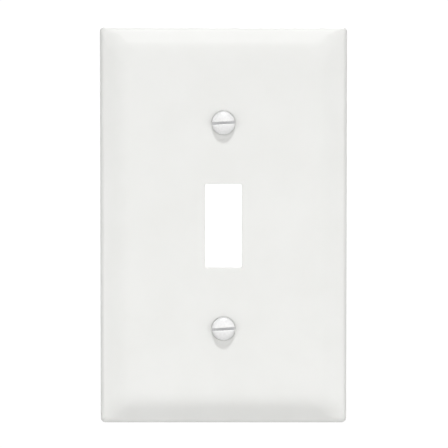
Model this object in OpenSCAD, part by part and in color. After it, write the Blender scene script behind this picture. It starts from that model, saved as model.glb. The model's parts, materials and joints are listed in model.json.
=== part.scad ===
// Wall plate for one toggle switch, held by two oval-head screws.
//
// X is the width, Z the height and Y the depth. The back rim lies on the wall at Y = 0, the face
// looks towards -Y, and the origin is the centre of the plate on the wall. Each screw runs along Y
// and is kept in the plate by a thin washer on the screw's neck, between the plate and the thread.

/* [Plate] */
// Width of the plate
plate_w = 72.8; // [70:0.1:80]
// Height of the plate
plate_h = 116.9; // [112:0.1:125]
// Depth from the wall to the flat face
plate_d = 6; // [5.8:0.1:6.4]
// Thickness of the moulded wall
wall_t = 2.1; // [1.8:0.1:2.3]
// Radius of the four corners, seen from the front
corner_r = 1.4; // [1:0.1:2]
// Radius of the edge between a side and its bevel
edge_r = 2.4; // [1.5:0.1:3.2]
// Width of the border, from the side of the plate to the start of the flat face
border_w = 9.3; // [8.5:0.1:10.5]
// Slope of the bevel away from the plane of the face, in degrees
bevel_slope = 24; // [20:1:26]
// Radius of the blend between the bevel and the flat face
blend_r = 12; // [9:0.5:13]

/* [Toggle opening] */
// Width of the opening
opening_w = 10.9; // [10.2:0.1:11.4]
// Height of the opening
opening_h = 24.6; // [23.6:0.1:25]
// Thickness of the rim round the back of the opening
opening_rim_t = 1.6; // [1.2:0.1:2]

/* [Back of the plate] */
// How far the ribs stand out of the inner face, less than the bosses and the opening's rim do
rib_h = 0.7; // [0.4:0.1:0.8]
// Thickness of each rib
rib_t = 1.2; // [0.8:0.1:1.6]
// Distance between the two long upright ribs, middle to middle
rib_frame_w = 44; // [36:1:48]
// Distance between the two cross ribs, middle to middle
rib_frame_h = 88; // [80:1:92]
// Radius of the boss round each screw hole
boss_r = 4.6; // [4.2:0.1:5.5]
// Distance from the face to the back of each boss and of the opening's rim
boss_depth = 3; // [2.9:0.1:3.2]
// Radius of each screw hole
hole_r = 2; // [1.9:0.05:2.2]
// Radius of the shallow round recess in the face, in which each head sits
recess_r = 3.55; // [3.55:0.05:3.9]
// Depth of that recess
recess_depth = 0.4; // [0.3:0.1:0.7]

/* [Screws] */
// Distance between the two screws, a fixed standard of switch boxes
screw_spacing = 60.325; // [60.325]
// Radius of the head at its rim
head_r = 3.4; // [3.3:0.05:3.5]
// Height of the thin straight rim of the head
head_rim_h = 0.45; // [0.2:0.05:0.5]
// Height of the dome above the rim
dome_h = 1.2; // [1:0.1:1.3]
// Distance from the plate's face up to the underside of the rim
head_proud = 0.5; // [0.2:0.05:0.6]
// Angle of the whole cone under the head, in degrees
cone_angle = 82; // [82]
// Width of the screwdriver slot
slot_w = 0.7; // [0.6:0.05:1.2]
// Depth of the slot below the top of the dome
slot_depth = 1.6; // [1.2:0.05:1.6]
// Turn of the upper screw's slot, in degrees
upper_slot_turn = 3.5; // [0:0.5:180]
// Turn of the lower screw's slot, in degrees
lower_slot_turn = 3; // [0:0.5:180]
// Radius of the plain neck between the head and the thread
neck_r = 1.32; // [1.25:0.01:1.35]
// Radius over the crests of the thread
thread_r = 1.753; // [1.753]
// Length of the screw from the top of its rim to its tip
screw_length = 12.7; // [12:0.1:16]
// Distance from the wall plane forward to the start of the thread
thread_start = 1.1; // [0.9:0.1:1.2]
// Length of the chamfer at the tip
tip_chamfer = 0.4; // [0.3:0.1:0.5]

/* [Retaining washers] */
// Outer radius of a washer
washer_r = 3.75; // [3.5:0.05:4]
// Thickness of a washer
washer_t = 0.5; // [0.4:0.05:0.6]

/* [Hidden] */
$fn = 96;
// Flat strips in the blend, in the edge round and in each corner of the plan, and cones in a dome
blend_steps = 8;
edge_steps = 6;
corner_steps = 8;
dome_steps = 8;
// Space between the head's cone and its seat, measured square to the cone
seat_gap = 0.06;
// Space between the neck and the washer's bore
bore_gap = 0.07;
// Space between a washer and the start of the thread behind it
shoulder_gap = 0.05;
// Extra length by which a cut runs past the surface it opens
cut_over = 1;
// Heights above the wall of the inner face, and of the backs of the ribs and the opening's rim
inner_face = plate_d - wall_t;
rib_back = inner_face - rib_h;
rim_back = plate_d - boss_depth;
// How far the ribs and bosses are sunk into the wall that carries them
rib_root = wall_t / 2;
cone_half = cone_angle / 2;
cone_h = (head_r - neck_r) / tan(cone_half);
// Radius of the countersunk seat where it meets the floor of the recess
seat_r = head_r - (head_proud + recess_depth) * tan(cone_half) + seat_gap / cos(cone_half);
seat_h = (seat_r - hole_r) / tan(cone_half);
dome_r = (head_r * head_r + dome_h * dome_h) / (2 * dome_h);
dome_half = asin(head_r / dome_r);
// Places along a screw, measured from the plate's face towards the head
rim_top = head_proud + head_rim_h;
dome_top = rim_top + dome_h;
thread_top = thread_start - plate_d;
tip = rim_top - screw_length;
washer_bore_r = neck_r + bore_gap;

// A point on the skin where its outward direction leans by lean degrees from straight forward.
// It turns about centre at radius r. x runs in from the plate's side and y is the height.
function skin_point(centre, r, lean) = centre + r * [-sin(lean), cos(lean)];

// Where a line parallel to the bevel and inset below it is x from the plate's side
function bevel_point(inset, x) =
    let (start = skin_point([border_w, plate_d - blend_r], blend_r - inset, bevel_slope))
    [x, start.y - (start.x - x) * tan(bevel_slope)];

// The blend into the flat face, from the bevel inwards
function blend_points(inset) = [
    for (i = [0:blend_steps])
        skin_point(
            [border_w, plate_d - blend_r],
            blend_r - inset,
            bevel_slope * (1 - i / blend_steps)
        )
];

// The rounded edge between the side and the bevel, from the side inwards
function edge_points() =
    let (centre = bevel_point(edge_r, edge_r))
    [
        for (i = [0:edge_steps])
            skin_point(centre, edge_r, 90 + (bevel_slope - 90) * i / edge_steps)
    ];

// The outer border from the wall inwards, and the inner one that follows it at the wall's thickness
function outer_border() = concat([[0, 0]], edge_points(), blend_points(0));
function inner_border() = concat(
    [[wall_t, -cut_over], bevel_point(wall_t, wall_t)],
    blend_points(wall_t)
);

// The whole section across a plate of the given width: a border at each side and the face between.
// The heights point towards -Y.
function section_points(width, border) = concat(
    [for (p = border) [p.x - width / 2, -p.y]],
    [for (i = [len(border) - 1:-1:0]) [width / 2 - border[i].x, -border[i].y]]
);

// A rectangle of x by z with rounded corners
function rounded_rectangle(x, z, r) = [
    for (corner = [[1, 1, 0], [-1, 1, 90], [-1, -1, 180], [1, -1, 270]])
        for (i = [0:corner_steps])
            let (a = corner[2] + 90 * i / corner_steps)
            [corner[0] * (x / 2 - r) + r * cos(a), corner[1] * (z / 2 - r) + r * sin(a)]
];

// A dish with mitred corners, made of one section along the height and one across the width
module dish(border) {
    intersection() {
        linear_extrude(height = plate_h + cut_over, center = true)
            polygon(section_points(plate_w, border));
        rotate([0, -90, 0])
            linear_extrude(height = plate_w + cut_over, center = true)
                polygon(section_points(plate_h, border));
    }
}

// Places its children on a screw's axis. Their +Z looks forward, with 0 at the plate's face.
module on_screw_axis(side) {
    translate([0, -plate_d, side * screw_spacing / 2])
        rotate([90, 0, 0])
            children();
}

// A bar on the inner face, from its middle, sunk into the wall. Its back is at the height given.
module bar(x, z, width, height, back) {
    translate([x - width / 2, -inner_face - rib_root, z - height / 2])
        cube([width, rib_root + inner_face - back, height]);
}

// The rim of the opening, the bosses, and the ribs that tie them together and stiffen the face
module backing() {
    bar(0, 0, opening_w + 2 * opening_rim_t, opening_h + 2 * opening_rim_t, rim_back);
    bar(0, 0, rib_t, rib_frame_h, rib_back);
    bar(0, 0, rib_frame_w, rib_t, rib_back);
    for (side = [-1, 1]) {
        bar(side * rib_frame_w / 2, 0, rib_t, rib_frame_h + rib_t, rib_back);
        bar(0, side * rib_frame_h / 2, rib_frame_w, rib_t, rib_back);
        on_screw_axis(side)
            translate([0, 0, -boss_depth])
                cylinder(r = boss_r, h = boss_depth - rib_root);
    }
}

// The hole for a screw, with the seat for the cone of its head and the recess round the head
module screw_hole() {
    translate([0, 0, -boss_depth - cut_over])
        cylinder(r = hole_r, h = boss_depth + 2 * cut_over);
    translate([0, 0, -recess_depth - seat_h])
        cylinder(r1 = hole_r, r2 = seat_r, h = seat_h);
    translate([0, 0, -recess_depth])
        cylinder(r = recess_r, h = recess_depth + cut_over);
}

module wall_plate() {
    color("white")
        difference() {
            union() {
                difference() {
                    intersection() {
                        dish(outer_border());
                        rotate([90, 0, 0])
                            linear_extrude(height = plate_d + cut_over)
                                polygon(rounded_rectangle(plate_w, plate_h, corner_r));
                    }
                    dish(inner_border());
                }
                backing();
            }
            cube([opening_w, 4 * plate_d, opening_h], center = true);
            for (side = [-1, 1])
                on_screw_axis(side)
                    screw_hole();
        }
}

// Half of a screw's section, from the middle of the dome to the middle of the tip: the dome, the
// straight rim, the cone, the plain neck, and the thread as a plain cylinder over its crests
function dome_points() = [
    for (i = [0:dome_steps])
        let (a = dome_half * i / dome_steps)
        [dome_r * sin(a), dome_top - dome_r * (1 - cos(a))]
];

function shank_points() = [
    [head_r, head_proud],
    [neck_r, head_proud - cone_h],
    [neck_r, thread_top],
    [thread_r, thread_top],
    [thread_r, tip + tip_chamfer],
    [thread_r - tip_chamfer, tip],
    [0, tip]
];

// A whole screw with the straight slot cut across its dome
module screw(side, slot_turn) {
    on_screw_axis(side)
        difference() {
            rotate_extrude()
                polygon(concat(dome_points(), shank_points()));
            rotate([0, 0, slot_turn])
                translate([-head_r - cut_over, -slot_w / 2, dome_top - slot_depth])
                    cube([2 * (head_r + cut_over), slot_w, slot_depth + cut_over]);
        }
}

module upper_screw() {
    color("whitesmoke")
        screw(1, upper_slot_turn);
}

module lower_screw() {
    color("whitesmoke")
        screw(-1, lower_slot_turn);
}

// A flat ring round the neck, just in front of the thread
module retaining_washer(side) {
    on_screw_axis(side)
        translate([0, 0, thread_top + shoulder_gap])
            difference() {
                cylinder(r = washer_r, h = washer_t);
                translate([0, 0, -cut_over])
                    cylinder(r = washer_bore_r, h = washer_t + 2 * cut_over);
            }
}

module upper_retaining_washer() {
    color("ivory")
        retaining_washer(1);
}

module lower_retaining_washer() {
    color("ivory")
        retaining_washer(-1);
}

wall_plate();
upper_screw();
lower_screw();
upper_retaining_washer();
lower_retaining_washer();
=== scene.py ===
# A wall plate for one toggle switch, with its two slotted screws and their retaining washers,
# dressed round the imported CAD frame.
#
# The mesh code works in millimetres and in the plate's own directions: x to the right and y up as
# seen from the front, and z out of the wall. place() turns such a point into the frame's metres.

import json
import math

import bmesh
import bpy
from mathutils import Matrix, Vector
from mathutils.geometry import delaunay_2d_cdt


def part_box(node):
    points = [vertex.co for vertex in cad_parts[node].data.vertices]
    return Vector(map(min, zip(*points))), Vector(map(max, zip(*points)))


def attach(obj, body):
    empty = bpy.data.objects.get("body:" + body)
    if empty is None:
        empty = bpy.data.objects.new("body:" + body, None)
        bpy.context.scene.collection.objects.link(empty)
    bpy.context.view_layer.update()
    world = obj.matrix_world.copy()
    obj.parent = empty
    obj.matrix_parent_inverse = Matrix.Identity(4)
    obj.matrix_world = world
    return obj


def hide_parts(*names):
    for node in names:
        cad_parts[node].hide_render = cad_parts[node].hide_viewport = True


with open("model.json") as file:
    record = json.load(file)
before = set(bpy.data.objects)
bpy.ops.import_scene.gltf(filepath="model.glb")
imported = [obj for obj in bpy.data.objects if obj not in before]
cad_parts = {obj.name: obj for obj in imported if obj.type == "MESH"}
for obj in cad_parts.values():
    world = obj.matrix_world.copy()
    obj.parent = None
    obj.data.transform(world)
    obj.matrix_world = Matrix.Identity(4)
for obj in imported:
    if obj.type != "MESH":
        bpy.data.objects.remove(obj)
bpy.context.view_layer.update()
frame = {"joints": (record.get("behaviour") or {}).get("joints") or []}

# ------------------------------------------------------------------ sizes, in millimetres

MM = 0.001

plate_low, plate_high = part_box("wall_plate")
screw_low, screw_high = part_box("upper_screw")
washer_low, washer_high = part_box("upper_retaining_washer")
joints = {joint["name"]: joint for joint in frame["joints"]}

# The plate
PLATE_W = (plate_high.x - plate_low.x) / MM
PLATE_H = (plate_high.z - plate_low.z) / MM
PLATE_D = -plate_low.y / MM
WALL_T = 2.1
CORNER_R = 1.4
EDGE_R = 2.4
BORDER_W = 9.3
BEVEL_SLOPE = math.radians(24)
BLEND_R = 12.0
RIM_EDGE_R = 0.2
# The hips between two bevels: the least radius, the full one, and the inset at which it is reached
HIP_LEAST_R = 0.3
HIP_R = 4.0
HIP_FULL_INSET = 2.5
INNER_HIP_R = 1.0

# The toggle opening
OPENING_W = 10.9
OPENING_H = 24.6
OPENING_RIM_T = 1.6
OPENING_CORNER_R = 0.4
OPENING_EDGE_R = 0.15

# The back of the plate
BACKING_DEPTH = 3.0
RIB_H = 0.7
RIB_T = 1.2
RIB_DRAFT = 0.06
RIB_EDGE_R = 0.12
RIB_CORNER_R = 0.3
RIB_FRAME_W = 44.0
RIB_FRAME_H = 88.0
# Ribs that meet differ by this step in height, so that their backs don't lie in one plane
RIB_STEP = 0.02
BOSS_R = 4.6
HOLE_R = 2.0
RECESS_R = 3.55
RECESS_DEPTH = 0.4
RECESS_EDGE_R = 0.06
MOUTH_R = RECESS_R + RECESS_EDGE_R
SEAT_GAP = 0.06
BACK_EDGE_R = 0.2
PIN_MARK_R = 1.6
PIN_MARK_DEPTH = 0.08
# Middles of the marks on the upper half; the lower half mirrors them
PIN_MARKS = [(-24.95, 26), (24.95, 26), (-12, 37), (12, 37), (-14, 8), (14, 8)]

# The screws
HEAD_R = (screw_high.x - screw_low.x) / 2 / MM
TIP = -screw_high.y / MM - PLATE_D
HEAD_PROUD = 0.5
HEAD_RIM_H = 0.45
DOME_H = 1.2
DOME_TOP = HEAD_PROUD + HEAD_RIM_H + DOME_H
CONE_HALF = math.radians(41)
SLOT_W = 0.7
SLOT_DEPTH = 1.6
SLOT_FLOOR = DOME_TOP - SLOT_DEPTH
SLOT_EDGE_R = 0.25
# The rounded edge between the dome and the rim: its width, and how far it drops in all
HEAD_EDGE_W = 0.6
HEAD_EDGE_DROP = 0.33
UPPER_SLOT_TURN = math.radians(3.5)
LOWER_SLOT_TURN = math.radians(3)
NECK_R = 1.32
# How far the neck reaches into the cone above it
NECK_OVERLAP = 0.15
THREAD_R = 1.753
THREAD_ROOT_R = 1.27
THREAD_PITCH = 25.4 / 32
# The form of the thread from crest to crest, as shares of the pitch and of the depth
THREAD_FORM = [(0, 1), (0.125, 1), (0.28, 0.5), (0.44, 0), (0.69, 0), (0.845, 0.5)]
# Turns built past the two ends of the thread, where they flatten into its end faces
SPARE_TURNS = 3
THREAD_START = 1.1
THREAD_TOP = THREAD_START - PLATE_D
TIP_CHAMFER = 0.4

# The retaining washers
WASHER_R = (washer_high.x - washer_low.x) / 2 / MM
WASHER_BORE_R = 1.39
WASHER_BACK = -washer_high.y / MM - PLATE_D
WASHER_T = (washer_high.y - washer_low.y) / MM
WASHER_EDGE_R = 0.08

UPPER_AXIS = joints["upper_screw_turn"]["pos_m"][2] / MM
LOWER_AXIS = joints["lower_screw_turn"]["pos_m"][2] / MM

# Heights above the wall
INNER_FACE = PLATE_D - WALL_T
RIB_BACK = INNER_FACE - RIB_H
BACKING_BACK = PLATE_D - BACKING_DEPTH

# Steps round small edges, corners and circles
EDGE_STEPS = 4
SIDE_STEPS = 9
BLEND_STEPS = 10
CORNER_STEPS = 10
OPENING_CORNER_STEPS = 5
RIB_CORNER_STEPS = 4
CIRCLE_STEPS = 72
PIN_MARK_STEPS = 32

# Steps along the straight sides of the plate and of the opening
PLATE_STEPS = {"across": 16, "up": 26}
OPENING_STEPS = {"across": 4, "up": 8}

# Faces of a head: along the slot, from the slot out to the rim, and across the slot's floor
HEAD_COLUMNS = 44
HEAD_ROWS = 24
SLOT_ROWS = 4
# Faces round the neck and the thread
THREAD_COLUMNS = 48

# Distance between the points that even out a flat area, and the tolerance of its triangles
FILL_SPACING = 6.0
FILL_TOLERANCE = 1e-9

# Points closer than this are one: in a mesh as built, and after the ribs are joined to the plate
POINT_GAP = 1e-4
JOINED_GAP = 1e-2

# Edges that bend by more than this are shaded sharp
SHARP_EDGE_DEG = 32


# ------------------------------------------------------------------ mesh code


def place(point):
    """A point of the mesh code in the frame's metres."""
    return Vector((point[0], -point[2], point[1])) * MM


def mix(a, b, share):
    """Goes from a to b as share goes from 0 to 1."""
    return a + (b - a) * share


def smooth(share):
    """Goes smoothly from 0 to 1 as share does."""
    share = min(1, max(0, share))
    return share * share * (3 - 2 * share)


def inside(point, ring):
    """Whether a flat point lies inside a closed ring of points."""
    x, y = point[0], point[1]
    odd = False
    for a, b in zip(ring, ring[1:] + ring[:1]):
        if (a[1] > y) != (b[1] > y) and x < a[0] + (y - a[1]) * (b[0] - a[0]) / (b[1] - a[1]):
            odd = not odd
    return odd


def in_area(point, outlines):
    """Whether a flat point lies inside the first outline and outside all the others."""
    return inside(point, outlines[0]) and not any(inside(point, hole) for hole in outlines[1:])


class Solid:
    """A closed mesh in the making: its points, and its faces as tuples of point numbers."""

    def __init__(self):
        self.points = []
        self.faces = []

    def ring(self, points):
        """Adds a ring of points and returns their numbers."""
        first = len(self.points)
        self.points.extend(points)
        return list(range(first, len(self.points)))

    def bridge(self, a, b):
        """Joins two closed rings of equal length with four-sided faces."""
        for i in range(len(a)):
            j = (i + 1) % len(a)
            self.faces.append((a[i], a[j], b[j], b[i]))

    def strip(self, a, b):
        """Joins two open lines of equal length with faces, three-sided where two points are one."""
        for i in range(len(a) - 1):
            self.faces.append(tuple(dict.fromkeys((a[i], a[i + 1], b[i + 1], b[i]))))

    def loft(self, first, sections):
        """Bridges from a ring of point numbers through more sections, and returns the last ring."""
        for section in sections:
            following = self.ring(section)
            self.bridge(first, following)
            first = following
        return first

    def fill(self, outer, holes):
        """Fills the flat area inside a ring and outside its holes with even triangles."""
        height = self.points[outer[0]][2]
        rings = [outer, *holes]
        outlines = [[self.points[i][:2] for i in ring] for ring in rings]
        flat = [Vector(point) for outline in outlines for point in outline]
        numbers = [i for ring in rings for i in ring]
        edges = []
        first = 0
        for ring in rings:
            count = len(ring)
            edges.extend((first + i, first + (i + 1) % count) for i in range(count))
            first += count
        columns = int(max(abs(x) for x, _ in outlines[0]) / FILL_SPACING)
        rows = int(max(abs(y) for _, y in outlines[0]) / FILL_SPACING)
        for row in range(-rows, rows + 1):
            for column in range(-columns, columns + 1):
                spot = Vector((column * FILL_SPACING, row * FILL_SPACING))
                clear = min((spot - other).length for other in flat)
                if in_area(spot, outlines) and clear > FILL_SPACING / 3:
                    numbers.extend(self.ring([(spot.x, spot.y, height)]))
                    flat.append(spot)
        found = delaunay_2d_cdt(flat, edges, [], 0, FILL_TOLERANCE)
        points, triangles, sources = found[0], found[2], found[3]
        for triangle in triangles:
            middle = sum((points[i] for i in triangle), Vector((0, 0))) / 3
            if in_area(middle, outlines):
                self.faces.append(tuple(numbers[sources[i][0]] for i in triangle))

    def shift(self, x, y, z):
        """Moves the whole solid and returns it."""
        self.points = [(px + x, py + y, pz + z) for px, py, pz in self.points]
        return self

    def turn(self, angle):
        """Turns the whole solid round z and returns it."""
        cos, sin = math.cos(angle), math.sin(angle)
        self.points = [(x * cos - y * sin, x * sin + y * cos, z) for x, y, z in self.points]
        return self

    def cap(self, ring):
        """Closes a ring with a fan round its middle."""
        count = len(ring)
        middle = [sum(self.points[i][k] for i in ring) / count for k in range(3)]
        centre = self.ring([tuple(middle)])[0]
        for i in range(count):
            self.faces.append((ring[i], ring[(i + 1) % count], centre))


def clean(name, work, smallest):
    """Removes what is smaller than a size in millimetres, and stops if the mesh isn't closed."""
    bmesh.ops.remove_doubles(work, verts=work.verts, dist=smallest * MM)
    bmesh.ops.dissolve_degenerate(work, edges=work.edges, dist=smallest * MM / 10)
    open_edges = [edge for edge in work.edges if len(edge.link_faces) != 2]
    if open_edges:
        raise ValueError(f"{name} has {len(open_edges)} edges without exactly two faces")


def build_mesh(name, solid):
    """The solid as a clean mesh with its faces turned outwards."""
    work = bmesh.new()
    corners = [work.verts.new(place(point)) for point in solid.points]
    for face in solid.faces:
        work.faces.new([corners[i] for i in face])
    clean(name, work, POINT_GAP)
    bmesh.ops.recalc_face_normals(work, faces=work.faces)
    if work.calc_volume(signed=True) < 0:
        bmesh.ops.reverse_faces(work, faces=work.faces)
    mesh = bpy.data.meshes.new(name)
    work.to_mesh(mesh)
    work.free()
    return mesh


def new_object(name, mesh):
    thing = bpy.data.objects.new(name, mesh)
    bpy.context.scene.collection.objects.link(thing)
    return thing


def on_screw_axis(name, solid, axis):
    """A new object from a solid built round z, moved to a screw's axis and to the plate's face."""
    return new_object(name, build_mesh(name, solid.shift(0, axis, PLATE_D)))


def finish_piece(thing, body, node, material):
    """Gives a piece its shading, its material and its place in the frame."""
    thing.data.shade_smooth()
    thing.data.set_sharp_from_angle(angle=math.radians(SHARP_EDGE_DEG))
    shading = thing.modifiers.new("even_shading", "WEIGHTED_NORMAL")
    shading.keep_sharp = True
    thing.data.materials.clear()
    thing.data.materials.append(material)
    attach(thing, body)
    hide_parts(node)


def rounded_rectangle(width, height, radius, z, across=1, up=1, corner=CORNER_STEPS, centre=(0, 0)):
    """A ring round a rectangle with rounded corners, its straight sides cut into even steps."""
    x, y = width / 2 - radius, height / 2 - radius
    points = []
    sides = [(x, y, 0, across), (-x, y, 90, up), (-x, -y, 180, across), (x, -y, 270, up)]
    for number, (middle_x, middle_y, start, steps) in enumerate(sides):
        for i in range(corner + 1):
            angle = math.radians(start + 90 * i / corner)
            points.append(
                (middle_x + radius * math.cos(angle), middle_y + radius * math.sin(angle))
            )
        following = sides[(number + 1) % 4]
        angle = math.radians(start + 90)
        end = (
            following[0] + radius * math.cos(angle),
            following[1] + radius * math.sin(angle),
        )
        begin = points[-1]
        for i in range(1, steps):
            share = i / steps
            points.append((mix(begin[0], end[0], share), mix(begin[1], end[1], share)))
    return [(px + centre[0], py + centre[1], z) for px, py in points]


def circle(radius, z, centre=(0, 0), steps=CIRCLE_STEPS):
    """A ring on a circle."""
    angles = [2 * math.pi * i / steps for i in range(steps)]
    return [
        (centre[0] + radius * math.cos(a), centre[1] + radius * math.sin(a), z) for a in angles
    ]


def edge_round(start, turn_in, turn_out, radius, steps=EDGE_STEPS):
    """Points of a quarter round from start: turn_in leads into it and turn_out out of it."""
    points = []
    for i in range(1, steps + 1):
        angle = math.pi / 2 * i / steps
        along, aside = radius * math.sin(angle), radius * (1 - math.cos(angle))
        points.append(
            (
                start[0] + turn_in[0] * along + turn_out[0] * aside,
                start[1] + turn_in[1] * along + turn_out[1] * aside,
            )
        )
    return points


# ------------------------------------------------------------------ the plate


def skin_point(centre, radius, lean):
    """Where a round skin leans by an angle from straight forward, as inset and height."""
    return (centre[0] - radius * math.sin(lean), centre[1] + radius * math.cos(lean))


def bevel_point(depth, inset):
    """The point at an inset from the plate's side, on a line at a depth below the bevel."""
    start = skin_point((BORDER_W, PLATE_D - BLEND_R), BLEND_R - depth, BEVEL_SLOPE)
    return (inset, start[1] - (start[0] - inset) * math.tan(BEVEL_SLOPE))


def blend_section(depth):
    """The blend from the flat face, at the start, out to the bevel."""
    leans = [BEVEL_SLOPE * i / BLEND_STEPS for i in range(BLEND_STEPS + 1)]
    return [skin_point((BORDER_W, PLATE_D - BLEND_R), BLEND_R - depth, lean) for lean in leans]


def outer_section():
    """The border's skin from the flat face out over the bevel and the side, down to the wall."""
    blend = blend_section(0)
    edge_centre = bevel_point(EDGE_R, EDGE_R)
    leans = [mix(BEVEL_SLOPE, math.pi / 2, i / SIDE_STEPS) for i in range(SIDE_STEPS + 1)]
    edge = [skin_point(edge_centre, EDGE_R, lean) for lean in leans]
    middle = [
        (mix(blend[-1][0], edge[0][0], share), mix(blend[-1][1], edge[0][1], share))
        for share in (1 / 3, 2 / 3)
    ]
    foot = edge_round((0, RIM_EDGE_R), (0, -1), (1, 0), RIM_EDGE_R)
    return blend + middle + edge + [(0, RIM_EDGE_R)] + foot


def inner_section():
    """The border's inside from the back rim up the inner wall and over to the flat inner face."""
    rim = edge_round((WALL_T - RIM_EDGE_R, 0), (1, 0), (0, 1), RIM_EDGE_R)
    corner = bevel_point(WALL_T, WALL_T)
    blend = blend_section(WALL_T)
    blend.reverse()
    return [(WALL_T - RIM_EDGE_R, 0)] + rim + [(WALL_T, corner[1])] + blend


def hip_radius(inset):
    """Radius of the plan's corner at an inset: the hips between the outer bevels are soft."""
    return mix(max(CORNER_R - inset, HIP_LEAST_R), HIP_R, smooth(inset / HIP_FULL_INSET))


def outline(inset, height, radius):
    """A ring round the plate at an inset from its sides."""
    return rounded_rectangle(
        PLATE_W - 2 * inset, PLATE_H - 2 * inset, radius, height, **PLATE_STEPS
    )


def opening_ring(offset, height):
    """A ring round the opening at an offset from its walls."""
    return rounded_rectangle(
        OPENING_W + 2 * offset,
        OPENING_H + 2 * offset,
        OPENING_CORNER_R + offset,
        height,
        corner=OPENING_CORNER_STEPS,
        **OPENING_STEPS,
    )


def opening_profile():
    """The opening's walls, as offsets and heights.

    They go from the face through to the back of the rim, and along its outside to the inner face.
    """
    back = BACKING_BACK + BACK_EDGE_R
    flank = OPENING_RIM_T - BACK_EDGE_R
    profile = edge_round((OPENING_EDGE_R, PLATE_D), (-1, 0), (0, -1), OPENING_EDGE_R)
    profile += [(0, back)]
    profile += edge_round((0, back), (0, -1), (1, 0), BACK_EDGE_R)
    profile += [(flank, BACKING_BACK)]
    profile += edge_round((flank, BACKING_BACK), (1, 0), (0, 1), BACK_EDGE_R)
    profile += [(OPENING_RIM_T, INNER_FACE)]
    return profile


def hole_profile():
    """A screw hole's walls, as radii and heights.

    They go down the recess in the face, over its floor, down the seat and the hole, and then along
    the outside of the boss to the inner face.
    """
    recess_floor = PLATE_D - RECESS_DEPTH
    head_depth = HEAD_PROUD + RECESS_DEPTH
    seat_r = HEAD_R - head_depth * math.tan(CONE_HALF) + SEAT_GAP / math.cos(CONE_HALF)
    seat_foot = recess_floor - (seat_r - HOLE_R) / math.tan(CONE_HALF)
    back = BACKING_BACK + BACK_EDGE_R
    flank = BOSS_R - BACK_EDGE_R
    profile = edge_round((MOUTH_R, PLATE_D), (-1, 0), (0, -1), RECESS_EDGE_R)
    profile += [(RECESS_R, recess_floor), (seat_r, recess_floor), (HOLE_R, seat_foot)]
    profile += [(HOLE_R, back)]
    profile += edge_round((HOLE_R, back), (0, -1), (1, 0), BACK_EDGE_R)
    profile += [(flank, BACKING_BACK)]
    profile += edge_round((flank, BACKING_BACK), (1, 0), (0, 1), BACK_EDGE_R)
    profile += [(BOSS_R, INNER_FACE)]
    return profile


def moulding():
    """The plate without its ribs: one skin round the border, the opening and the screw holes."""
    solid = Solid()
    sections = [outline(x, z, hip_radius(x)) for x, z in outer_section()]
    sections += [outline(x, z, INNER_HIP_R) for x, z in inner_section()]
    face_ring = solid.ring(sections[0])
    inner_ring = solid.loft(face_ring, sections[1:])

    mouth = solid.ring(opening_ring(OPENING_EDGE_R, PLATE_D))
    face_holes = [mouth]
    inner_holes = [solid.loft(mouth, [opening_ring(x, z) for x, z in opening_profile()])]
    for axis in (UPPER_AXIS, LOWER_AXIS):
        middle = (0, axis)
        mouth = solid.ring(circle(MOUTH_R, PLATE_D, middle))
        face_holes.append(mouth)
        inner_holes.append(solid.loft(mouth, [circle(r, z, middle) for r, z in hole_profile()]))

    # The shallow round marks that the mould's ejector pins leave
    for x, y in PIN_MARKS:
        for side in (-1, 1):
            mark = (x, side * y)
            edge = solid.ring(circle(PIN_MARK_R, INNER_FACE, mark, PIN_MARK_STEPS))
            floor = circle(PIN_MARK_R, INNER_FACE + PIN_MARK_DEPTH, mark, PIN_MARK_STEPS)
            solid.cap(solid.loft(edge, [floor]))
            inner_holes.append(edge)

    solid.fill(face_ring, face_holes)
    solid.fill(inner_ring, inner_holes)
    return solid


def rib(x, y, width, height, top):
    """A bar on the inner face with a little draft and rounded top edges, sunk into the wall."""
    solid = Solid()
    root = INNER_FACE + WALL_T / 2
    edge = top + RIB_EDGE_R

    def section(inset, z):
        return rounded_rectangle(
            width - 2 * inset,
            height - 2 * inset,
            RIB_CORNER_R,
            z,
            corner=RIB_CORNER_STEPS,
            centre=(x, y),
        )

    rounding = edge_round((RIB_DRAFT, edge), (0, -1), (1, 0), RIB_EDGE_R)
    base = solid.ring(section(0, root))
    end = solid.loft(base, [section(0, INNER_FACE), section(RIB_DRAFT, edge)])
    end = solid.loft(end, [section(inset, z) for inset, z in rounding])
    solid.cap(base)
    solid.cap(end)
    return solid


def ribs():
    """The upright and cross ribs, and the ties that join them to the bosses and to the opening.

    Each tie ends in the middle of a boss's wall or of the opening's rim, and each cross rib ends
    inside the two upright ones.
    """
    cross_w = RIB_FRAME_W - RIB_T / 3
    cross_back = RIB_BACK + RIB_STEP
    tie_back = RIB_BACK + 2 * RIB_STEP
    boss_wall = (BOSS_R + HOLE_R) / 2
    rim_wall_y = (OPENING_H + OPENING_RIM_T) / 2
    rim_wall_x = (OPENING_W + OPENING_RIM_T) / 2
    bars = []
    for side in (-1, 1):
        x = side * RIB_FRAME_W / 2
        y = side * RIB_FRAME_H / 2
        outer_end = side * (UPPER_AXIS + boss_wall)
        inner_end = side * (UPPER_AXIS - boss_wall)
        rim_x = side * rim_wall_x
        rim_y = side * rim_wall_y
        bars.append(rib(x, 0, RIB_T, RIB_FRAME_H + RIB_T, RIB_BACK))
        bars.append(rib(0, y, cross_w, RIB_T, cross_back))
        bars.append(rib(0, (y + outer_end) / 2, RIB_T, abs(y - outer_end), tie_back))
        bars.append(rib(0, (inner_end + rim_y) / 2, RIB_T, abs(inner_end - rim_y), RIB_BACK))
        bars.append(rib((x + rim_x) / 2, 0, abs(x - rim_x), RIB_T, cross_back))
    return bars


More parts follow.
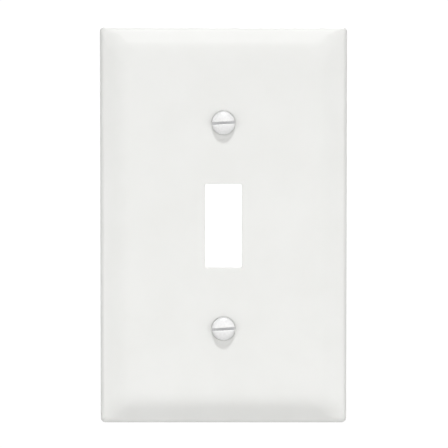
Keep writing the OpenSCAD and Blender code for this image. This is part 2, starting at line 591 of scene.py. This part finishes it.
def join_ribs(plate, bars):
    """Makes the ribs one solid with the plate."""
    tools = []
    for number, bar in enumerate(bars):
        tool = new_object(f"rib_{number}", build_mesh(f"rib_{number}", bar))
        tools.append(tool)
        union = plate.modifiers.new(tool.name, "BOOLEAN")
        union.operation = "UNION"
        union.solver = "EXACT"
        union.object = tool
    bpy.context.view_layer.update()
    whole = plate.evaluated_get(bpy.context.evaluated_depsgraph_get())
    mesh = bpy.data.meshes.new_from_object(whole)
    work = bmesh.new()
    work.from_mesh(mesh)
    many_sided = [face for face in work.faces if len(face.verts) > 4]
    bmesh.ops.triangulate(work, faces=many_sided, ngon_method="BEAUTY")
    clean(plate.name, work, JOINED_GAP)
    work.to_mesh(mesh)
    work.free()
    plate.modifiers.clear()
    plate.data = mesh
    for tool in tools:
        bpy.data.objects.remove(tool)


# ------------------------------------------------------------------ the screws


def dome_height(radius):
    """Height of the round dome at a distance from its axis."""
    dome_r = (HEAD_R**2 + DOME_H**2) / (2 * DOME_H)
    return DOME_TOP - dome_r + math.sqrt(dome_r**2 - radius**2)


def edge_drop(distance, width, drop):
    """How far an edge that is rounded over a width, and drops so far in all, is down already."""
    share = 1 - min(1, max(0, distance / width))
    return drop * (1 - math.sqrt(1 - share**2))


def cone_height(radius):
    """Height at which the cone under the head has a radius."""
    return HEAD_PROUD - (HEAD_R - radius) / math.tan(CONE_HALF)


def dome_point(x, y):
    """A point on the dome, whose edges are rounded towards the rim and towards the slot."""
    radius = min(math.hypot(x, y), HEAD_R)
    drop = max(
        edge_drop(HEAD_R - radius, HEAD_EDGE_W, HEAD_EDGE_DROP),
        edge_drop(abs(y) - SLOT_W / 2, SLOT_EDGE_R, SLOT_EDGE_R),
    )
    return (x, y, dome_height(radius) - drop)


def rim_spot(column, side):
    """Where a column of the head meets the rim's circle, on one side of the slot."""
    corner = math.asin(SLOT_W / 2 / HEAD_R)
    angle = mix(corner, math.pi - corner, column / HEAD_COLUMNS)
    return (HEAD_R * math.cos(angle), side * HEAD_R * math.sin(angle))


def dome_half(solid, side):
    """Adds one half of the dome, and returns its line along the slot and its arc along the rim.

    Each column runs from the slot's edge out to the rim. The first and the last one are one point
    each, where the slot's edge meets the rim.
    """
    slot_reach = rim_spot(0, side)[0]
    shares = [(1 - math.cos(math.pi * j / HEAD_ROWS)) / 2 for j in range(HEAD_ROWS + 1)]
    grid = []
    for i in range(HEAD_COLUMNS + 1):
        rim = rim_spot(i, side)
        if i in (0, HEAD_COLUMNS):
            grid.append(solid.ring([dome_point(*rim)]) * (HEAD_ROWS + 1))
            continue
        at_slot = (slot_reach * (1 - 2 * i / HEAD_COLUMNS), side * SLOT_W / 2)
        spots = [(mix(at_slot[0], rim[0], s), mix(at_slot[1], rim[1], s)) for s in shares]
        grid.append(solid.ring([dome_point(x, y) for x, y in spots]))
    for a, b in zip(grid, grid[1:]):
        solid.strip(a, b)
    return [column[0] for column in grid], [column[-1] for column in grid]


def slot_floor(solid):
    """Adds the floor of the slot, whose ends lie on the rim's circle, and returns its rows."""
    shares = [1 - 2 * i / HEAD_COLUMNS for i in range(HEAD_COLUMNS + 1)]
    rows = []
    for j in range(SLOT_ROWS + 1):
        y = mix(SLOT_W / 2, -SLOT_W / 2, j / SLOT_ROWS)
        reach = math.sqrt(HEAD_R**2 - y**2)
        rows.append(solid.ring([(reach * share, y, SLOT_FLOOR) for share in shares]))
    for a, b in zip(rows, rows[1:]):
        solid.strip(a, b)
    return rows


def head_rim(solid, arcs, floor):
    """Adds the straight rim, down to the circle on which the slot's floor ends.

    arcs are the arcs of the two halves of the dome. Returns that circle as a ring.
    """
    feet = []
    for arc, edge, side in ((arcs[0], floor[0], 1), (arcs[1], floor[-1], -1)):
        spots = [(*rim_spot(i, side), SLOT_FLOOR) for i in range(1, HEAD_COLUMNS)]
        foot = [edge[0], *solid.ring(spots), edge[-1]]
        solid.strip(arc, foot)
        feet.append(foot)
    left_end = [row[-1] for row in floor[1:-1]]
    right_end = [row[0] for row in floor[-2:0:-1]]
    return feet[0] + left_end + feet[1][::-1] + right_end


def screw_head(turn):
    """A slotted oval head down to the foot of its cone, on the axis z, with z = 0 at the face."""
    solid = Solid()
    upper_line, upper_arc = dome_half(solid, 1)
    lower_line, lower_arc = dome_half(solid, -1)
    floor = slot_floor(solid)
    solid.strip(upper_line, floor[0])
    solid.strip(lower_line, floor[-1])
    ring = head_rim(solid, (upper_arc, lower_arc), floor)

    # The foot of the rim, and the cone with one ring on its way
    rim = [solid.points[i] for i in ring]
    for radius in (HEAD_R, 3 / 4 * HEAD_R, NECK_R):
        scale = radius / HEAD_R
        section = [(x * scale, y * scale, cone_height(radius)) for x, y, _ in rim]
        ring = solid.loft(ring, [section])
    solid.cap(ring)
    return solid.turn(turn)


def screw_shank():
    """The neck and the rolled thread down to the chamfered tip, on the axis z."""
    solid = Solid()
    columns = THREAD_COLUMNS
    turns = math.ceil((THREAD_TOP - TIP) / THREAD_PITCH) + SPARE_TURNS

    def spot(angle, z, depth):
        """A point of the thread, inside a run-out under the neck and a chamfer at the tip."""
        if z >= THREAD_TOP:
            radius, z = NECK_R, THREAD_TOP
        elif z <= TIP:
            radius, z = THREAD_ROOT_R, TIP
        else:
            run_out = NECK_R + THREAD_TOP - z
            chamfer = THREAD_R - TIP_CHAMFER + z - TIP
            radius = min(mix(THREAD_ROOT_R, THREAD_R, depth), run_out, chamfer)
        return (radius * math.cos(angle), radius * math.sin(angle), z)

    rows = []
    for number in range(turns * len(THREAD_FORM)):
        turn, part = divmod(number, len(THREAD_FORM))
        share, depth = THREAD_FORM[part]
        row = []
        for k in range(columns):
            z = THREAD_TOP + THREAD_PITCH * (1 + k / columns - turn - share)
            row.append(spot(2 * math.pi * k / columns, z, depth))
        rows.append(solid.ring(row))
    # Past its last column a row goes on in the row that lies one turn above it
    for number in range(len(rows) - 1):
        for k in range(columns):
            if k + 1 < columns:
                beside = (rows[number][k + 1], rows[number + 1][k + 1])
            elif number >= len(THREAD_FORM):
                above = number - len(THREAD_FORM)
                beside = (rows[above][0], rows[above + 1][0])
            else:
                continue
            solid.faces.append((rows[number][k], beside[0], beside[1], rows[number + 1][k]))
    neck_top = cone_height(NECK_R) + NECK_OVERLAP
    solid.cap(solid.loft(rows[0], [circle(NECK_R, neck_top, steps=columns)]))
    solid.cap(rows[-1])
    return solid


def washer():
    """A flat ring with slightly rounded edges, on the axis z."""
    solid = Solid()
    front, back, r = WASHER_BACK + WASHER_T, WASHER_BACK, WASHER_EDGE_R
    profile = [(WASHER_R - r, front)]
    profile += edge_round((WASHER_R - r, front), (1, 0), (0, -1), r)
    profile += [(WASHER_R, back + r)]
    profile += edge_round((WASHER_R, back + r), (0, -1), (-1, 0), r)
    profile += [(WASHER_BORE_R + r, back)]
    profile += edge_round((WASHER_BORE_R + r, back), (-1, 0), (0, 1), r)
    profile += [(WASHER_BORE_R, front - r)]
    profile += edge_round((WASHER_BORE_R, front - r), (0, 1), (1, 0), r)
    first = solid.ring(circle(profile[0][0], profile[0][1]))
    last = solid.loft(first, [circle(radius, z) for radius, z in profile[1:]])
    solid.bridge(last, first)
    return solid


# ------------------------------------------------------------------ materials


class Look:
    """A procedural material: its Principled shader, and the texture nodes that feed it."""

    def __init__(self, name, **values):
        self.material = bpy.data.materials.new(name)
        self.material.use_nodes = True
        self.nodes = self.material.node_tree.nodes
        self.links = self.material.node_tree.links
        self.shader = self.nodes["Principled BSDF"]
        for socket, value in values.items():
            self.shader.inputs[socket.replace("_", " ")].default_value = value
        self.place = self.nodes.new("ShaderNodeTexCoord").outputs["Object"]

    def noise(self, size_mm, detail=2.0, roughness=0.5):
        """Noise whose patches are about size_mm across."""
        made = self.nodes.new("ShaderNodeTexNoise")
        made.inputs["Scale"].default_value = 1 / (size_mm * MM)
        made.inputs["Detail"].default_value = detail
        made.inputs["Roughness"].default_value = roughness
        self.links.new(self.place, made.inputs["Vector"])
        return made.outputs["Fac"]

    def spread(self, source, low, high, source_low=0.35, source_high=0.65):
        """Maps a source onto low to high. Its usual range is the middle of a noise."""
        made = self.nodes.new("ShaderNodeMapRange")
        self.links.new(source, made.inputs["Value"])
        made.inputs["From Min"].default_value = source_low
        made.inputs["From Max"].default_value = source_high
        made.inputs["To Min"].default_value = low
        made.inputs["To Max"].default_value = high
        return made.outputs["Result"]

    def tint(self, source, low, high):
        """Mixes two colours by a noise and feeds the base colour."""
        made = self.nodes.new("ShaderNodeMix")
        made.data_type = "RGBA"
        self.links.new(self.spread(source, low=0, high=1), made.inputs["Factor"])
        made.inputs["A"].default_value = (*low, 1)
        made.inputs["B"].default_value = (*high, 1)
        self.links.new(made.outputs["Result"], self.shader.inputs["Base Color"])

    def cover(self, mask, colour):
        """Lays one more colour over the base colour where the mask is 1."""
        made = self.nodes.new("ShaderNodeMix")
        made.data_type = "RGBA"
        under = self.shader.inputs["Base Color"].links[0].from_socket
        self.links.new(mask, made.inputs["Factor"])
        self.links.new(under, made.inputs["A"])
        made.inputs["B"].default_value = (*colour, 1)
        self.links.new(made.outputs["Result"], self.shader.inputs["Base Color"])

    def below(self, none_mm, full_mm):
        """Goes from 0 to 1 as the surface goes down between two heights above the plate's face."""
        split = self.nodes.new("ShaderNodeSeparateXYZ")
        self.links.new(self.place, split.inputs["Vector"])
        none_y, full_y = (-(PLATE_D + height) * MM for height in (none_mm, full_mm))
        return self.spread(split.outputs["Y"], 0, 1, source_low=none_y, source_high=full_y)

    def roughen(self, source, low, high):
        """Lets the roughness follow a noise."""
        self.links.new(self.spread(source, low, high), self.shader.inputs["Roughness"])

    def bump(self, sources):
        """Adds up bumps, each a noise with its height in millimetres."""
        normal = None
        for source, height_mm in sources:
            made = self.nodes.new("ShaderNodeBump")
            made.inputs["Strength"].default_value = 1
            made.inputs["Distance"].default_value = height_mm * MM
            self.links.new(source, made.inputs["Height"])
            if normal is not None:
                self.links.new(normal, made.inputs["Normal"])
            normal = made.outputs["Normal"]
        self.links.new(normal, self.shader.inputs["Normal"])


def plate_plastic():
    """Moulded white plastic with a faint waviness, a fine grain and slightly uneven whiteness."""
    look = Look("satin_white_plastic", IOR=1.49)
    look.tint(look.noise(14, 3), (0.795, 0.797, 0.776), (0.812, 0.814, 0.795))
    look.roughen(look.noise(0.9, 4), 0.43, 0.51)
    look.bump([(look.noise(9, 1), 0.004), (look.noise(0.25, 3), 0.0006)])
    return look.material


def screw_enamel():
    """White enamel with painted shade: greyer towards the rim and below it, and darker on the
    slot's floor.
    """
    look = Look("white_screw_enamel", IOR=1.5)
    look.tint(look.noise(1.5, 3), (0.86, 0.86, 0.855), (0.89, 0.89, 0.885))
    rim = HEAD_PROUD + HEAD_RIM_H
    # Painted shade: the enamel greys from 0.8 mm above the rim down to the rim, and stays grey on
    # the cone under it
    look.cover(look.below(none_mm=rim + 0.8, full_mm=rim), (0.75, 0.75, 0.75))
    # Painted shade: the slot's floor turns darker grey
    slot_floor_shade = look.below(none_mm=SLOT_FLOOR + 0.16, full_mm=SLOT_FLOOR + 0.03)
    look.cover(slot_floor_shade, (0.68, 0.68, 0.69))
    look.roughen(look.noise(0.5, 3), 0.24, 0.32)
    look.bump([(look.noise(0.45, 2), 0.003)])
    return look.material


def zinc():
    """Bright zinc plate, a little cloudy and uneven in its gloss."""
    look = Look("bright_zinc_plate", Metallic=1.0)
    look.tint(look.noise(0.8, 4), (0.62, 0.63, 0.65), (0.74, 0.74, 0.72))
    look.roughen(look.noise(0.3, 4), 0.24, 0.42)
    look.bump([(look.noise(0.12, 3), 0.0015)])
    return look.material


def nylon():
    """Natural nylon, slightly yellow and translucent."""
    look = Look("natural_nylon", Subsurface_Weight=0.15, Subsurface_Scale=0.0005, IOR=1.53)
    look.tint(look.noise(2.5, 3), (0.74, 0.72, 0.64), (0.80, 0.78, 0.71))
    look.roughen(look.noise(0.4, 4), 0.42, 0.58)
    look.bump([(look.noise(0.2, 4), 0.003)])
    return look.material


# ------------------------------------------------------------------ the object

plastic = plate_plastic()
enamel = screw_enamel()
bare_zinc = zinc()
washer_nylon = nylon()

plate = new_object("plate_moulding", build_mesh("plate_moulding", moulding()))
join_ribs(plate, ribs())
finish_piece(plate, "plate", "wall_plate", plastic)

for name, axis, turn in (
    ("upper", UPPER_AXIS, UPPER_SLOT_TURN),
    ("lower", LOWER_AXIS, LOWER_SLOT_TURN),
):
    screw = f"{name}_screw"
    head = on_screw_axis(f"{screw}_head", screw_head(turn), axis)
    finish_piece(head, screw, screw, enamel)
    shank = on_screw_axis(f"{screw}_shank", screw_shank(), axis)
    finish_piece(shank, screw, screw, bare_zinc)
    ring = on_screw_axis(f"{name}_washer_ring", washer(), axis)
    finish_piece(ring, f"{name}_washer", f"{name}_retaining_washer", washer_nylon)


# ------------------------------------------------------------------ the studio

# The camera aims at a point on the face, given as x and z in metres, from slightly above
CAMERA_DISTANCE = 0.55
CAMERA_RISE = math.radians(2.2)
CAMERA_AIM = (0.00015, 0.0006)
LENS_MM = 150.8
SENSOR_MM = 36.0
CLIP_START = 0.01
CLIP_END = 20

# Strength of the sky for the object, and of the backdrop that the camera sees
AMBIENT = 0.05
BACKDROP = 1.05

# The floor, in metres: how far it lies below the plate, and the size of its round area
FLOOR_GAP = 0.4
FLOOR_R = 1.5
FLOOR_STEPS = 64
FLOOR_RINGS = (0.05, 0.1, 0.2, 0.4, 0.7, 1)


def add_camera():
    """The camera at the photo's viewing angle."""
    data = bpy.data.cameras.new("camera")
    data.lens = LENS_MM
    data.sensor_width = SENSOR_MM
    data.clip_start = CLIP_START
    data.clip_end = CLIP_END
    camera = bpy.data.objects.new("camera", data)
    target = Vector((CAMERA_AIM[0], plate_low.y, CAMERA_AIM[1]))
    back = Vector((0, -math.cos(CAMERA_RISE), math.sin(CAMERA_RISE)))
    camera.location = target + back * CAMERA_DISTANCE
    camera.rotation_mode = "QUATERNION"
    camera.rotation_quaternion = (-back).to_track_quat("-Z", "Y")
    bpy.context.scene.collection.objects.link(camera)
    bpy.context.scene.camera = camera


def softbox(name, rise_deg, side_deg, distance, width, height, share):
    """A rectangular light aimed at the plate, sizes in metres.

    rise_deg is its angle above the horizontal. side_deg is its angle to the right of the line
    straight out of the face, so that a light at more than 90 degrees stands behind the plate. share
    is the light that it gives to a surface facing it, where a white sky all round gives 1.
    """
    data = bpy.data.lights.new(name, "AREA")
    data.shape = "RECTANGLE"
    data.size = width
    data.size_y = height
    data.energy = share * math.pi**2 * distance**2
    light = bpy.data.objects.new(name, data)
    rise, side = math.radians(rise_deg), math.radians(side_deg)
    level = math.cos(rise)
    out = Vector((math.sin(side) * level, -math.cos(side) * level, math.sin(rise)))
    light.location = Vector((0, plate_low.y, 0)) + out * distance
    light.rotation_mode = "QUATERNION"
    light.rotation_quaternion = (-out).to_track_quat("-Z", "Y")
    light.visible_camera = False
    bpy.context.scene.collection.objects.link(light)


# Name, rise and side in degrees, distance, width and height in metres, and share, of each softbox
LIGHTS = [
    ("key", 66, 2, 2.5, 0.2, 0.2, 0.65),
    ("front", 4, 0, 1.6, 1.2, 0.9, 0.262),
    ("left", 0, -60, 0.6, 0.35, 0.35, 0.252),
    ("right", 0, 60, 0.6, 0.35, 0.35, 0.302),
    ("low_left", -24, -60, 0.35, 0.2, 0.2, 0.14),
    ("low_right", -24, 60, 0.35, 0.2, 0.2, 0.115),
    ("back_high", 50, 168, 0.8, 0.3, 0.3, 0.6),
    ("back_left", 0, -140, 0.8, 0.3, 0.3, 0.1),
    ("back_right", 0, 140, 0.8, 0.3, 0.3, 0.1),
]


def add_world():
    """A dim even sky for the object, which the camera itself sees as plain white."""
    world = bpy.data.worlds.new("studio")
    world.use_nodes = True
    nodes, links = world.node_tree.nodes, world.node_tree.links
    sky = nodes["Background"]
    sky.inputs["Color"].default_value = (1, 1, 1, 1)
    sky.inputs["Strength"].default_value = AMBIENT
    white = nodes.new("ShaderNodeBackground")
    white.inputs["Color"].default_value = (1, 1, 1, 1)
    white.inputs["Strength"].default_value = BACKDROP
    path = nodes.new("ShaderNodeLightPath")
    choice = nodes.new("ShaderNodeMixShader")
    links.new(path.outputs["Is Camera Ray"], choice.inputs["Fac"])
    links.new(sky.outputs["Background"], choice.inputs[1])
    links.new(white.outputs["Background"], choice.inputs[2])
    links.new(choice.outputs["Shader"], nodes["World Output"].inputs["Surface"])
    bpy.context.scene.world = world


def add_floor():
    """A pale round floor below the plate, with a glow for the camera that lifts it to white."""
    z = plate_low.z - FLOOR_GAP
    rings = [circle(FLOOR_R * share, z, steps=FLOOR_STEPS) for share in FLOOR_RINGS]
    points = [point for ring in rings for point in ring]
    faces = [tuple(range(FLOOR_STEPS))]
    for number in range(len(rings) - 1):
        a = number * FLOOR_STEPS
        b = a + FLOOR_STEPS
        for i in range(FLOOR_STEPS):
            j = (i + 1) % FLOOR_STEPS
            faces.append((a + i, b + i, b + j, a + j))
    floor = bpy.data.meshes.new("floor")
    floor.from_pydata(points, [], faces)
    look = Look("pale_floor", Roughness=0.7)
    look.tint(look.noise(60, 2), (0.60, 0.60, 0.60), (0.62, 0.62, 0.615))
    glow = look.nodes.new("ShaderNodeEmission")
    path = look.nodes.new("ShaderNodeLightPath")
    look.links.new(path.outputs["Is Camera Ray"], glow.inputs["Strength"])
    both = look.nodes.new("ShaderNodeAddShader")
    look.links.new(look.shader.outputs["BSDF"], both.inputs[0])
    look.links.new(glow.outputs["Emission"], both.inputs[1])
    look.links.new(both.outputs["Shader"], look.nodes["Material Output"].inputs["Surface"])
    floor.materials.append(look.material)
    new_object("floor", floor)


add_camera()
for light in LIGHTS:
    softbox(*light)
add_world()
add_floor()

view_settings = bpy.context.scene.view_settings
view_settings.view_transform = "Standard"
view_settings.look = "None"
